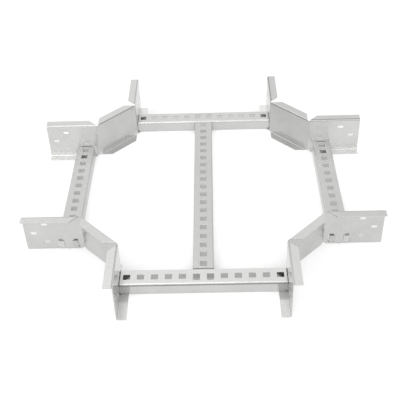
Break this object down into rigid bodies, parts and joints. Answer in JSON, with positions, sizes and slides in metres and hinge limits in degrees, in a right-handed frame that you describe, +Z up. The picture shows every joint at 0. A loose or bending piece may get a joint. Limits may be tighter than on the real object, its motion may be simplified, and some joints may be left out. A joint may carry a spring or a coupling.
{
  "type": "cable ladder cross",
  "caption": "Four-way crossing piece for cable ladder: bent Z-section side rails joined by perforated channel rungs.",
  "frame": {"origin": "middle of the crossing, at the underside of the rails", "axes": "+Z up, out of the open top; the front mouth opens toward -Y and the left mouth toward -X"},
  "size_m": [0.674, 0.674, 0.08],
  "materials": {
    "side_rails": "smooth galvanised sheet steel",
    "rungs": "smooth galvanised sheet steel"
  },
  "bodies": {
    "root": {"side_rail_front_left": "side_rails", "side_rail_front_right": "side_rails", "side_rail_back_right": "side_rails", "side_rail_back_left": "side_rails", "rung_front": "rungs", "rung_right": "rungs", "rung_back": "rungs", "rung_left": "rungs", "rung_centre": "rungs"}
  },
  "joints": []
}
